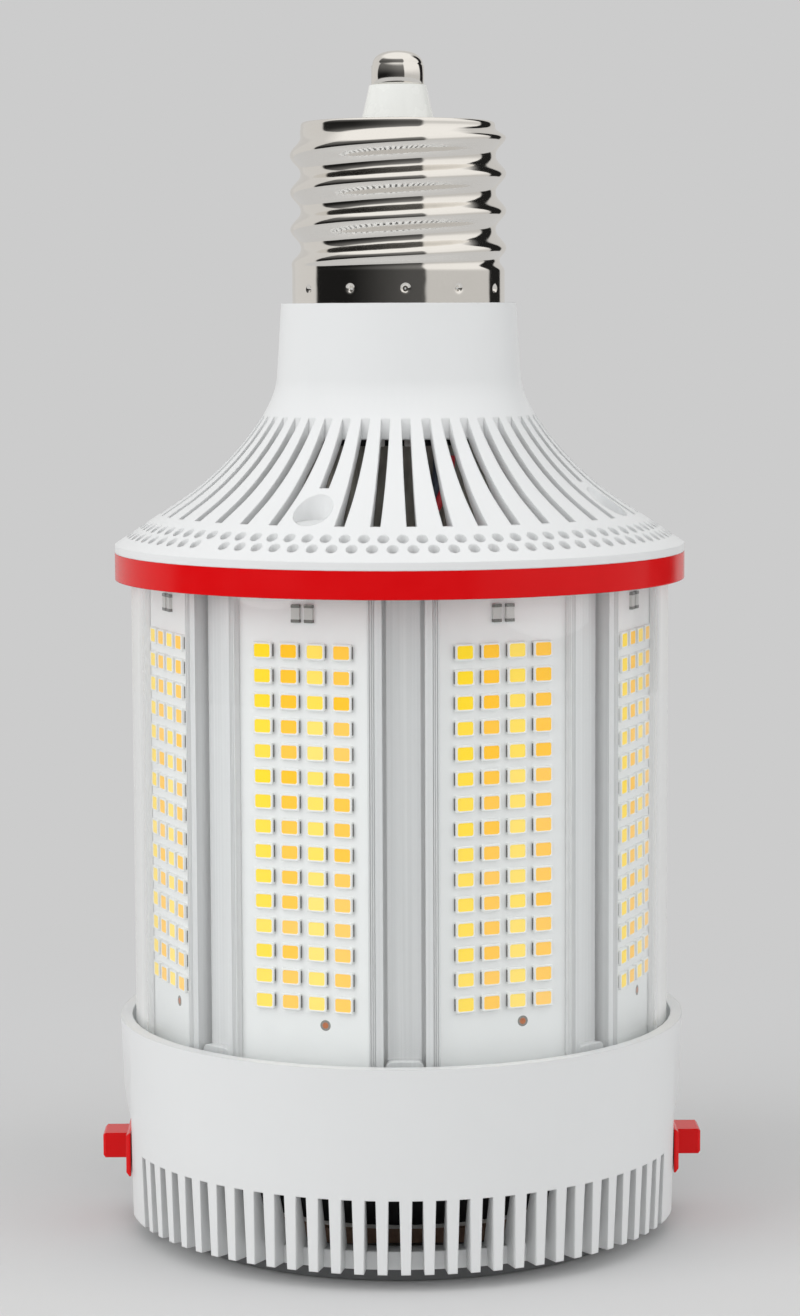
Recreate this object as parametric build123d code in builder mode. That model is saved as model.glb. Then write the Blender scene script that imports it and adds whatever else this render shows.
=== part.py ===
# LED lamp that replaces a discharge bulb: mogul screw base, vented bell, clear tube over eight LED
# boards on an octagonal heat sink, and a ribbed cap with a fan and two selector slides.
# It stands on its foot plate at z = 0 with its axis on +Z and its front towards -Y. Sizes are in millimetres.
from build123d import *
import os
from math import atan2, cos, degrees, hypot, radians, sin, sqrt

os.makedirs("parts", exist_ok=True)

# Directions round the axis, in degrees from +X
front = -90.0
sides = 8
face_step = 360 / sides
first_board = front + face_step / 2

# Clear tube, whose bore sets the heat sink and whose outside sets the cap and the bell
tube_radius = 49.1
tube_wall = 2.0
tube_inner = tube_radius - tube_wall

# Foot plate with its intake grille
foot_radius = 43.0
foot_thickness = 3.3
foot_fit = 0.15
grille_count = 16
grille_inner = 10.0
grille_outer = 26.0
grille_slot = 2.8

# Bottom cap: rim round the tube, drafted wall, ribs that end on a hoop round the foot plate
cap_lift = 3.0
cap_height = 36.3
cap_rim_wall = 2.15
cap_rim_gap = 0.65
cap_wall = 2.0
ledge_depth = 8.3
ledge_width = 5.8
ledge_thickness = 2.0
hoop_wall = 3.85
hoop_height = 3.2
hoop_cover = 1.9
rib_proud = 3.4
rib_count = 78
vent_height = 13.15
vent_width_top = 1.87
vent_width_foot = 2.37
rib_step = 360 / rib_count
cap_rim_inner = tube_radius + cap_rim_gap
cap_rim_radius = cap_rim_inner + cap_rim_wall
cap_top = cap_lift + cap_height
ledge_z = cap_top - ledge_depth
ledge_radius = cap_rim_inner - ledge_width
hoop_inner = foot_radius + foot_fit
hoop_radius = hoop_inner + hoop_wall
hoop_top = cap_lift + hoop_height
vent_top = cap_lift + vent_height
cap_foot_radius = hoop_radius + rib_proud
cap_draft = cap_rim_radius - cap_foot_radius
cap_inside = cap_foot_radius + cap_draft * vent_height / cap_height - cap_wall
cap_outside = max(cap_foot_radius, cap_rim_radius)

# Locating tongues of the cap, in the channels of the heat sink's corner posts
tongue_width = 5.4
tongue_thickness = 1.5
tongue_height = 8.2
tongue_fit = 0.2

# Flats at +X and -X for the selectors
flat_depth = 0.9
flat_height = 18.8
ramp_height = 5.7
ramp_run = 2.4
flat_x = cap_foot_radius + min(0, cap_draft * flat_height / cap_height) - flat_depth
flat_top = cap_lift + flat_height

# Selector slides and the switches behind them
selector_z = 14.5
selector_travel = 2.5
selector_fit = 0.3
selector_plate_width = 22.0
selector_plate_height = 8.0
selector_plate_thickness = 0.9
selector_plate_bevel = 0.6
knob_width = 7.2
knob_height = 4.6
knob_proud = 4.7
knob_bevel = 0.4
stem_width = 3.2
stem_height = 2.2
stem_reach = 2.0
switch_width = 17.0
switch_height = 5.0
switch_depth = 5.5

# Fan on its foam gasket
gasket_height = 2.6
gasket_width = 3.5
fan_radius = 31.0
fan_sides = 36
fan_depth = 15.0
fan_wall = 1.6
fan_base_radius = 13.5
fan_base_thickness = 2.4
fan_strut = 3.0
fan_struts = 4
rotor_tip_gap = 0.8
rotor_hub_radius = 13.0
rotor_hub_gap = 0.5
rotor_blades = 7
blade_thickness = 1.2
blade_margin = 0.6
blade_twist = 38.0
axle_radius = 1.5
axle_fit = 0.05

# Heat sink: corner posts with lips over the board edges, inner fins
sink_length = 93.6
post_half_width = 6.1
post_tube_gap = 0.5
post_depth = 7.0
lip_thickness = 0.9
lip_cover = 0.6
channel_half_width = 2.9
channel_depth = 2.0
groove_width = 0.7
groove_depth = 3.0
sink_wall = 5.8
fin_length = 8.0
fin_thickness = 1.4
fin_spacing = 15.0
sink_top = ledge_z + sink_length

# LED boards and the columns of packages on them
board_thickness = 1.2
board_fit = 0.1
board_top_gap = 2.0
led_columns = 4
led_rows = 15
led_column_pitch = 4.85
led_row_pitch = 4.36
led_width = 3.5
led_height = 2.8
led_thickness = 0.8
led_centre_z = 79.6

# Red trim ring
trim_height = 4.9
trim_wall = 2.7
trim_fit = 0.2
trim_radius = tube_radius + trim_fit + trim_wall

# Upper housing: rim, straight lower bell, curved upper bell, drafted neck and the spigot in the shell
rim_step = 0.05
rim_band = 1.4
rim_fit = 0.3
bell_height = 27.4
bell_wall = 3.0
bell_cone_run = 11.75
bell_cone_rise = 7.75
bell_steps = 3
neck_foot_radius = 22.4
neck_draft = 1.05
neck_height = 16.1
skirt_radius = 21.9
skirt_drop = 7.6
spigot_height = 6.0
slot_count = 44
slot_wells = 4
slot_width_top = 1.55
slot_width_foot = 1.75
slot_neck_gap = 2.6
slot_rim_gap = 8.4
well_radius = 3.4
well_wall = 0.65
well_floor = 3.0
well_slot_gap = 1.3
rim_radius = trim_radius - rim_step
bell_foot = sink_top + rim_band
bell_top = bell_foot + bell_height
neck_top = bell_top + neck_height
slot_step = 360 / slot_count
bell_sides = 2 * slot_count

# Driver block and its leads
driver_radius = 20.0
driver_height = 18.5
lead_radius = 0.9
lead_sides = 12
red_lead_place = 6.6
dark_lead_place = 4.5

# Screw base: shell, insulator cone and contact button
shell_radius = 19.6
shell_height = 32.5
shell_wall = 0.8
shell_fit = 0.1
insulator_sides = 36
insulator_foot_radius = 6.7
insulator_draft = 1.55
insulator_height = 6.6
insulator_plug = 1.6
contact_radius = 4.75
contact_side = 3.4
contact_round = 2.8
contact_steps = 3
shell_inner = shell_radius - shell_wall
shell_top = neck_top + shell_height
insulator_top = shell_top + insulator_height

# Corner posts and boards, worked out from the tube's bore: the lips of two posts hold a board's edges
half_face = radians(face_step / 2)
post_face = sqrt((tube_inner - post_tube_gap) ** 2 - post_half_width**2)
board_front = post_face * cos(half_face) + post_half_width * sin(half_face) - lip_thickness
board_seat = board_front - board_thickness
board_half_width = post_face * sin(half_face) - post_half_width * cos(half_face) + lip_cover
sink_bore = board_seat - sink_wall
well_place = board_seat - sink_wall / 2


def radial_plane(angle, distance, height):
    """Plane that faces outwards at an angle round the axis, with its X to the right and its Y up."""
    turn = radians(angle)
    return Plane(
        origin=(distance * cos(turn), distance * sin(turn), height),
        x_dir=(-sin(turn), cos(turn), 0),
        z_dir=(cos(turn), sin(turn), 0),
    )


def round_wall(count, foot_radius, top_radius, foot_z, top_z, turn=0.0, mode=Mode.ADD):
    """Round or drafted body between two heights, drawn with flat sides that touch the two radii.

    It is drawn from its wider end, so that the draft always closes in, with a corner at the turn.
    """
    draft = degrees(atan2(abs(foot_radius - top_radius), top_z - foot_z))
    if foot_radius >= top_radius:
        start = Plane.XY.offset(foot_z)
    else:
        start = Plane(origin=(0, 0, top_z), x_dir=(1, 0, 0), z_dir=(0, 0, -1))
        turn = -turn
    with BuildSketch(start) as outline:
        RegularPolygon(max(foot_radius, top_radius), count, major_radius=False, rotation=turn)
    extrude(outline.sketch, amount=top_z - foot_z, taper=draft, mode=mode)


def keep(builder, name):
    """Name a finished piece and write it."""
    builder.part.label = name
    export_step(builder.part, f"parts/{name}.step")


# Foot plate: a disc with radial intake slots under the fan
with BuildPart() as foot_plate:
    with BuildSketch():
        RegularPolygon(foot_radius, rib_count)
        with PolarLocations((grille_inner + grille_outer) / 2, grille_count):
            Rectangle(grille_outer - grille_inner, grille_slot, mode=Mode.SUBTRACT)
    extrude(amount=foot_thickness)
keep(foot_plate, "foot_plate")

# One vent of the cap, at +X: it opens the wall down to the rib tips and the gusset down to the hoop
with BuildPart() as cap_vent:
    vent_plane = radial_plane(0, hoop_radius, 0)
    foot_half = vent_width_foot / 2
    top_half = vent_width_top / 2
    hoop_half = foot_half + (top_half - foot_half) * hoop_height / vent_height
    for half, low, reach in (
        (foot_half, cap_lift, cap_outside - hoop_inner),
        (hoop_half, hoop_top, hoop_inner - hoop_radius),
    ):
        with BuildSketch(vent_plane):
            with BuildLine():
                Polyline((-half, low), (half, low), (top_half, vent_top), (-top_half, vent_top), close=True)
            make_face()
        extrude(amount=reach)

# Bottom cap: drafted wall with a ledge for the tube, flats for the selectors, vents and tongues
first_vent = front + rib_step / 2
with BuildPart() as bottom_cap:
    round_wall(rib_count, cap_foot_radius, cap_rim_radius, cap_lift, cap_top, first_vent)
    for foot_r, top_r, foot_z, top_z in (
        (cap_rim_inner, cap_rim_inner, ledge_z, cap_top),
        (ledge_radius, ledge_radius, ledge_z - ledge_thickness, ledge_z),
        (cap_inside, cap_inside, vent_top, ledge_z - ledge_thickness),
        (hoop_inner + hoop_cover, cap_inside, hoop_top, vent_top),
        (hoop_inner, hoop_inner, cap_lift, hoop_top),
    ):
        round_wall(rib_count, foot_r, top_r, foot_z, top_z, first_vent, Mode.SUBTRACT)
    with BuildSketch(Plane.XZ):
        with BuildLine():
            Polyline(
                (flat_x, 0),
                (flat_x, flat_top),
                (flat_x + ramp_run, flat_top + ramp_height),
                (cap_outside + ramp_run, flat_top + ramp_height),
                (cap_outside + ramp_run, 0),
                close=True,
            )
        make_face()
        mirror(about=Plane.YZ)
    extrude(amount=cap_outside / 2, both=True, mode=Mode.SUBTRACT)
    selector_reach = selector_plate_width / 2 + selector_travel + vent_width_foot
    vent_turns = [first_vent + k * rib_step for k in range(rib_count)]
    open_turns = [a for a in vent_turns if abs(flat_x * sin(radians(a))) > selector_reach]
    with Locations(*[Location((0, 0, 0), (0, 0, a)) for a in open_turns]):
        add(cap_vent.part, mode=Mode.SUBTRACT)
    with GridLocations(2 * flat_x, 0, 2, 1):
        with Locations((0, 0, selector_z)):
            Box(
                2 * (flat_x - hoop_inner),
                stem_width + 2 * (selector_travel + selector_fit),
                stem_height + 2 * selector_fit,
                mode=Mode.SUBTRACT,
            )
    tongue_place = post_face - channel_depth + tongue_fit + tongue_thickness / 2
    with Locations((0, 0, ledge_z)):
        with PolarLocations(tongue_place, sides, start_angle=front):
            Box(
                tongue_thickness,
                tongue_width,
                tongue_height,
                align=(Align.CENTER, Align.CENTER, Align.MIN),
            )
keep(bottom_cap, "bottom_cap")

# Foam gasket: eight strips that make a ring under the fan frame
gasket_z = foot_thickness
with BuildPart() as fan_gasket:
    with BuildSketch(Plane.XY.offset(gasket_z)):
        RegularPolygon(fan_radius, sides, major_radius=False, rotation=face_step / 2)
        RegularPolygon(
            fan_radius - gasket_width,
            sides,
            major_radius=False,
            rotation=face_step / 2,
            mode=Mode.SUBTRACT,
        )
    extrude(amount=gasket_height)
keep(fan_gasket, "fan_gasket")

# Fan frame: round duct with a motor base on struts and the axle's bore in it
fan_z = gasket_z + gasket_height
duct_radius = fan_radius - fan_wall
with BuildPart() as fan_frame:
    round_wall(fan_sides, fan_radius, fan_radius, fan_z, fan_z + fan_depth)
    round_wall(fan_sides, duct_radius, duct_radius, fan_z, fan_z + fan_depth, mode=Mode.SUBTRACT)
    with BuildSketch(Plane.XY.offset(fan_z)):
        RegularPolygon(fan_base_radius, fan_sides)
        with PolarLocations((fan_base_radius + duct_radius) / 2, fan_struts):
            Rectangle(fan_radius - fan_base_radius, fan_strut)
        Circle(axle_radius + axle_fit, mode=Mode.SUBTRACT)
    extrude(amount=fan_base_thickness)
keep(fan_frame, "fan_frame")

# Fan rotor: hub, tilted blades and the axle that runs in the frame's bore
rotor_z = fan_z + fan_base_thickness + rotor_hub_gap
rotor_height = fan_depth - fan_base_thickness - 2 * rotor_hub_gap
rotor_radius = duct_radius - rotor_tip_gap
with BuildPart() as fan_rotor:
    round_wall(fan_sides, rotor_hub_radius, rotor_hub_radius, rotor_z, rotor_z + rotor_height)
    with BuildSketch(Plane.XY.offset(fan_z)):
        Circle(axle_radius)
    extrude(amount=fan_base_thickness + 2 * rotor_hub_gap)
    blade_root = rotor_hub_radius - blade_thickness
    for k in range(rotor_blades):
        with BuildSketch(radial_plane(front + k * 360 / rotor_blades, blade_root, rotor_z + rotor_height / 2)):
            Rectangle(blade_thickness, rotor_height - 2 * blade_margin, rotation=blade_twist)
        extrude(amount=rotor_radius - blade_root)
keep(fan_rotor, "fan_rotor")

# Heat sink: octagonal extrusion with eight corner posts, board rails and inner fins
with BuildPart() as heat_sink:
    with BuildSketch(Plane.XY.offset(ledge_z)):
        RegularPolygon(board_seat, sides, major_radius=False)
        with PolarLocations(post_face - post_depth / 2, sides, start_angle=front):
            Rectangle(post_depth, 2 * post_half_width)
        rail_depth = board_thickness + board_fit
        with PolarLocations(board_seat + rail_depth / 2, sides, start_angle=first_board):
            Rectangle(rail_depth, 2 * (board_half_width + board_fit), mode=Mode.SUBTRACT)
        groove_run = groove_depth + post_depth
        with PolarLocations(post_face - groove_depth + groove_run / 2, sides, start_angle=front):
            Rectangle(groove_run, 2 * (channel_half_width + groove_width), mode=Mode.SUBTRACT)
        land_depth = groove_depth - channel_depth
        with PolarLocations(post_face - groove_depth + land_depth / 2, sides, start_angle=front):
            Rectangle(land_depth, 2 * channel_half_width)
        RegularPolygon(sink_bore, sides, major_radius=False, mode=Mode.SUBTRACT)
        with PolarLocations(sink_bore - fin_length / 2, sides, start_angle=first_board):
            with GridLocations(0, fin_spacing, 1, 2):
                Rectangle(fin_length + fin_thickness, fin_thickness)
    extrude(amount=sink_length)
keep(heat_sink, "heat_sink")

# LED boards: one on each face of the heat sink
board_length = sink_length - board_top_gap
for number in range(sides):
    with BuildPart() as led_board:
        with BuildSketch(radial_plane(first_board + number * face_step, board_seat, ledge_z)):
            Rectangle(2 * board_half_width, board_length, align=(Align.CENTER, Align.MIN))
        extrude(amount=board_thickness)
    keep(led_board, f"led_board_{number + 1}")

# LED columns: cool and warm take turns, starting with cool on the left, and each column is one bar
led_shift = led_column_pitch / 2
column_length = (led_rows - 1) * led_row_pitch + led_height
for name, shift in (("cool_leds", -led_shift), ("warm_leds", led_shift)):
    with BuildPart() as leds:
        for number in range(sides):
            with BuildSketch(radial_plane(first_board + number * face_step, board_front, led_centre_z)):
                with Locations((shift, 0)):
                    with GridLocations(2 * led_column_pitch, 0, led_columns // 2, 1):
                        Rectangle(led_width, column_length)
            extrude(amount=led_thickness)
    keep(leds, name)

# Clear tube, from the cap's ledge to the underside of the bell
with BuildPart() as clear_tube:
    with BuildSketch(Plane.XY.offset(ledge_z)):
        Circle(tube_radius)
        Circle(tube_inner, mode=Mode.SUBTRACT)
    extrude(amount=bell_foot - ledge_z)
keep(clear_tube, "clear_tube")

# Red trim ring round the top of the tube
with BuildPart() as trim_ring:
    with BuildSketch(Plane.XY.offset(sink_top - trim_height)):
        Circle(trim_radius)
        Circle(tube_radius + trim_fit, mode=Mode.SUBTRACT)
    extrude(amount=trim_height)
keep(trim_ring, "trim_ring")

# Bell profile: a straight lower part, then an arc tangent to it that ends at the neck
cone_radius = rim_radius - bell_cone_run
cone_z = bell_foot + bell_cone_rise
cone_slope = atan2(bell_cone_rise, -bell_cone_run)
chord_slope = atan2(bell_top - cone_z, neck_foot_radius - cone_radius)
arc_turn = 2 * (chord_slope - cone_slope)
arc_radius = hypot(bell_top - cone_z, neck_foot_radius - cone_radius) / (2 * sin(arc_turn / 2))


def bell_point(share):
    """Radius and height on the bell's arc, at a share of its turn."""
    run = 2 * arc_radius * sin(arc_turn * share / 2)
    slope = cone_slope + arc_turn * share / 2
    return cone_radius + run * cos(slope), cone_z + run * sin(slope)


# Inside of the bell: two drafted walls under the flange on the tube, round the skirt and the screw pillars
cone_length = hypot(bell_cone_run, bell_cone_rise)
wall_in = bell_wall * bell_cone_rise / cone_length
wall_down = bell_wall * bell_cone_run / cone_length
flange_inner = rim_radius - wall_in - wall_down * bell_cone_run / bell_cone_rise
skirt_foot = bell_top - skirt_drop
skirt_top = skirt_foot + bell_wall
first_slot = first_board - face_step
with BuildPart() as bell_cavity:
    for foot_r, top_r, foot_z, top_z in (
        (tube_radius + rim_fit, tube_radius + rim_fit, sink_top, bell_foot),
        (flange_inner, cone_radius - wall_in, bell_foot, cone_z - wall_down),
        (cone_radius - wall_in, skirt_radius, cone_z - wall_down, skirt_top),
    ):
        round_wall(slot_count, foot_r, top_r, foot_z, top_z, first_slot)
    round_wall(slot_count, skirt_radius, skirt_radius, skirt_foot, skirt_top, first_slot, Mode.SUBTRACT)
    pillar_width = 2 * (well_radius + well_wall)
    with Locations((0, 0, sink_top)):
        with PolarLocations(well_place, slot_wells, start_angle=first_slot):
            Box(
                pillar_width,
                pillar_width,
                bell_height,
                align=(Align.CENTER, Align.CENTER, Align.MIN),
                mode=Mode.SUBTRACT,
            )

# Slots of the bell: they run out from the neck and widen towards the rim, and stop short above a well
slot_start = neck_foot_radius + slot_neck_gap
slot_end = rim_radius - slot_rim_gap
well_slot_end = well_place - well_radius - well_slot_gap


def bell_slot(end):
    """Tapered cutter at +X from the neck out to a radius, as tall as the bell."""
    with BuildPart() as cutter:
        with BuildSketch(Plane.XY.offset(bell_foot)):
            with BuildLine():
                Polyline(
                    (slot_start, -slot_width_top / 2),
                    (end, -slot_width_foot / 2),
                    (end, slot_width_foot / 2),
                    (slot_start, slot_width_top / 2),
                    close=True,
                )
            make_face()
        extrude(amount=bell_height)
    return cutter.part


slot_turns = [first_slot + k * slot_step for k in range(slot_count)]
slots_per_well = slot_count // slot_wells
slot_places = [Location((0, 0, 0), (0, 0, a)) for a in slot_turns]
long_places = [place for k, place in enumerate(slot_places) if k % slots_per_well]
long_slot = bell_slot(slot_end)
short_slot = bell_slot(well_slot_end)

# Upper housing: neck and bell in one, with slots all round and four screw wells
with BuildPart() as upper_housing:
    round_wall(bell_sides, rim_radius, rim_radius, sink_top, bell_foot, first_slot)
    round_wall(bell_sides, rim_radius, cone_radius, bell_foot, cone_z, first_slot)
    for k in range(bell_steps):
        foot_r, foot_z = bell_point(k / bell_steps)
        top_r, top_z = bell_point((k + 1) / bell_steps)
        round_wall(bell_sides, foot_r, top_r, foot_z, top_z, first_slot)
    round_wall(bell_sides, neck_foot_radius, neck_foot_radius - neck_draft, bell_top, neck_top, first_slot)
    with BuildSketch(Plane.XY.offset(neck_top)):
        Circle(shell_inner - shell_fit)
    extrude(amount=spigot_height)
    add(bell_cavity.part, mode=Mode.SUBTRACT)
    with Locations(*long_places):
        add(long_slot, mode=Mode.SUBTRACT)
    with Locations(*slot_places[::slots_per_well]):
        add(short_slot, mode=Mode.SUBTRACT)
    with Locations((0, 0, sink_top + well_floor)):
        with PolarLocations(well_place, slot_wells, start_angle=first_slot):
            Cylinder(
                well_radius,
                bell_height,
                align=(Align.CENTER, Align.CENTER, Align.MIN),
                mode=Mode.SUBTRACT,
            )
keep(upper_housing, "upper_housing")

# Driver block: potted octagonal block under the neck
driver_foot = skirt_foot - driver_height
with BuildPart() as driver_block:
    with BuildSketch(Plane.XY.offset(driver_foot)):
        RegularPolygon(driver_radius, sides, rotation=face_step / 2)
    extrude(amount=driver_height)
keep(driver_block, "driver_block")

# Leads: straight runs from the driver's front face down to the heat sink's front post
driver_face = driver_radius * cos(half_face)
lead_drop = driver_foot + driver_height / 2 - sink_top
lead_run = (sink_bore / cos(half_face) + post_face - groove_depth) / 2 - driver_face
for name, place in (("red_lead", red_lead_place), ("dark_lead", dark_lead_place)):
    with BuildPart() as lead:
        lead_top = (place, -driver_face, sink_top + lead_drop)
        with BuildSketch(Plane(origin=lead_top, x_dir=(1, 0, 0), z_dir=(0, -lead_run, -lead_drop))):
            RegularPolygon(lead_radius, lead_sides)
        extrude(amount=2 * hypot(lead_run, lead_drop), both=True)
        split(bisect_by=Plane.XY.offset(sink_top), keep=Keep.TOP)
        split(bisect_by=Plane.XZ.offset(driver_face), keep=Keep.TOP)
    keep(lead, name)

# Screw shell: full-diameter thread body over the spigot, with a top round the insulator
with BuildPart() as screw_shell:
    with BuildSketch(Plane.XY.offset(neck_top)):
        Circle(shell_radius)
    extrude(amount=shell_height)
    with BuildSketch(Plane.XY.offset(neck_top)):
        Circle(shell_inner)
    extrude(amount=shell_height - shell_wall, mode=Mode.SUBTRACT)
    with BuildSketch(Plane.XY.offset(neck_top)):
        RegularPolygon(insulator_foot_radius + shell_fit, insulator_sides, major_radius=False)
    extrude(amount=shell_height, mode=Mode.SUBTRACT)
keep(screw_shell, "screw_shell")

# Insulator: plug in the shell's top and the cone that carries the contact
insulator_tip = insulator_foot_radius - insulator_draft
with BuildPart() as base_insulator:
    round_wall(
        insulator_sides,
        insulator_foot_radius,
        insulator_foot_radius,
        shell_top - insulator_plug,
        shell_top,
    )
    round_wall(insulator_sides, insulator_foot_radius, insulator_tip, shell_top, insulator_top)
keep(base_insulator, "base_insulator")

# Centre contact: button whose top is rounded in a few steps
contact_shoulder = insulator_top + contact_side
with BuildPart() as centre_contact:
    round_wall(insulator_sides, contact_radius, contact_radius, insulator_top, contact_shoulder)
    for k in range(contact_steps):
        low = radians(90 * k / contact_steps)
        high = radians(90 * (k + 1) / contact_steps)
        round_wall(
            insulator_sides,
            contact_radius - contact_round * (1 - cos(low)),
            contact_radius - contact_round * (1 - cos(high)),
            contact_shoulder + contact_round * sin(low),
            contact_shoulder + contact_round * sin(high),
        )
keep(centre_contact, "centre_contact")

# Selector slides and their switches: the power selector is at +X, the colour selector at -X
selector_face = flat_x + selector_fit
gusset_share = (selector_z - switch_height / 2 - hoop_top) / (vent_top - hoop_top)
gusset_radius = hoop_inner + hoop_cover + (cap_inside - hoop_inner - hoop_cover) * gusset_share
switch_face = sqrt(gusset_radius**2 - (switch_width / 2) ** 2) - selector_fit
for name, side in (("power", 1), ("colour", -1)):
    outside = Plane(origin=(side * selector_face, 0, selector_z), x_dir=(0, side, 0), z_dir=(side, 0, 0))
    inside = Plane(origin=(side * switch_face, 0, selector_z), x_dir=(0, side, 0), z_dir=(side, 0, 0))
    with BuildPart() as selector:
        with BuildSketch(outside):
            Rectangle(selector_plate_width, selector_plate_height)
        extrude(amount=selector_plate_thickness)
        chamfer(faces().sort_by(Axis.X)[-1 if side > 0 else 0].edges(), length=selector_plate_bevel)
        with BuildSketch(outside):
            Rectangle(knob_width, knob_height)
        extrude(amount=selector_plate_thickness + knob_proud)
        chamfer(faces().sort_by(Axis.X)[-1 if side > 0 else 0].edges(), length=knob_bevel)
        with BuildSketch(outside):
            Rectangle(stem_width, stem_height)
        extrude(amount=switch_face - stem_reach - selector_face)
    keep(selector, f"{name}_selector")

    with BuildPart() as switch:
        with BuildSketch(inside):
            Rectangle(switch_width, switch_height)
        extrude(amount=-switch_depth)
        with BuildSketch(inside):
            Rectangle(
                stem_width + 2 * (selector_travel + selector_fit),
                stem_height + 2 * selector_fit,
            )
        extrude(amount=-(stem_reach + selector_fit), mode=Mode.SUBTRACT)
    keep(switch, f"{name}_switch")
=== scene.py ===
"""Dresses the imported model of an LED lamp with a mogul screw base, and sets it in a plain studio."""

from math import cos, pi, radians, sin

import bmesh
import bpy
import numpy as np
from bpy.props import FloatProperty, FloatVectorProperty, IntProperty, PointerProperty
from mathutils import Euler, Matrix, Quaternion, Vector


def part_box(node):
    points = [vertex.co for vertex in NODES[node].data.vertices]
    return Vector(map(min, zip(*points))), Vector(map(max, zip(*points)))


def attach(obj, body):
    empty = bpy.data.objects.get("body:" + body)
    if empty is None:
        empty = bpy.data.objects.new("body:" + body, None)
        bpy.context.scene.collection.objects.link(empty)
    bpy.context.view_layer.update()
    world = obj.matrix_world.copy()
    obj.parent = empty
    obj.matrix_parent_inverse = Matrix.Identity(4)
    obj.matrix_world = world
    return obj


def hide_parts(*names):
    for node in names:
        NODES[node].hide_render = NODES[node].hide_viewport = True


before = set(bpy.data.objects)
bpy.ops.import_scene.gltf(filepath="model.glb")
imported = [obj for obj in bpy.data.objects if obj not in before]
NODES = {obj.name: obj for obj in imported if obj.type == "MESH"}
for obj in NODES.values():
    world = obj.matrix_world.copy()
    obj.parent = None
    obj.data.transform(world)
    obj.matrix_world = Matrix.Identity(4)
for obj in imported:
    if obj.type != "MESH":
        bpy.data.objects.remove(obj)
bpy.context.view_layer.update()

bl_info = {
    "name": "Mogul base LED lamp",
    "version": (1, 0, 0),
    "blender": (4, 5, 0),
    "location": "View3D > Sidebar > Lamp",
    "description": "Finishes the pieces of an LED lamp and lights them",
    "category": "Object",
}

MM = 0.001
LAMP = "lamp"
# Angle of the lamp's front about its axis, and the number of boards and posts round it
FRONT = radians(-90)
SIDES = 8
# Distance at which a CAD node's points are joined, and the angle in degrees under which its edges are smooth
CAD_MERGE = 0.002 * MM
CAD_SMOOTH = 24
# Upper housing of the solids: its bell, the straight flank at the bell's rim, its neck and its screw wells
BELL_HEIGHT, BELL_STEPS = 27.4 * MM, 3
FLANK_RUN, FLANK_RISE = 11.75 * MM, 7.75 * MM
NECK_RADIUS, NECK_HEIGHT, NECK_DRAFT = 22.4 * MM, 16.1 * MM, 1.05 * MM
WELL_REACH, WELL_COUNT = 40.016 * MM, 4


def linear(code):
    """Linear RGBA of an sRGB hex colour."""
    srgb = np.array([int(code[k : k + 2], 16) for k in (1, 3, 5)]) / 255
    rgb = np.where(srgb <= 0.04045, srgb / 12.92, ((srgb + 0.055) / 1.055) ** 2.4)
    return (*rgb.tolist(), 1.0)


def ease(value, start, end):
    """Smooth step from 0 at the start to 1 at the end."""
    t = np.clip((value - start) / (end - start), 0, 1)
    return t * t * (3 - 2 * t)


def floor_of(node):
    """Lowest height of a CAD node."""
    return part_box(node)[0].z


def top_of(node):
    """Highest height of a CAD node."""
    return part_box(node)[1].z


def reach_of(node):
    """Largest distance of a CAD node from the lamp's axis along X."""
    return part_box(node)[1].x


def colour_property(name, code, description):
    """Colour that a user can change, given as a hex value."""
    return FloatVectorProperty(
        name=name, description=description, default=linear(code), size=4, subtype="COLOR", min=0, max=1
    )


def length_property(name, value_mm, description):
    """Length that a user can change, given in millimetres."""
    return FloatProperty(name=name, description=description, default=value_mm * MM, unit="LENGTH", min=0)


def count_property(name, value, description):
    """Whole number that a user can change."""
    return IntProperty(name=name, description=description, default=value, min=1)


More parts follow.
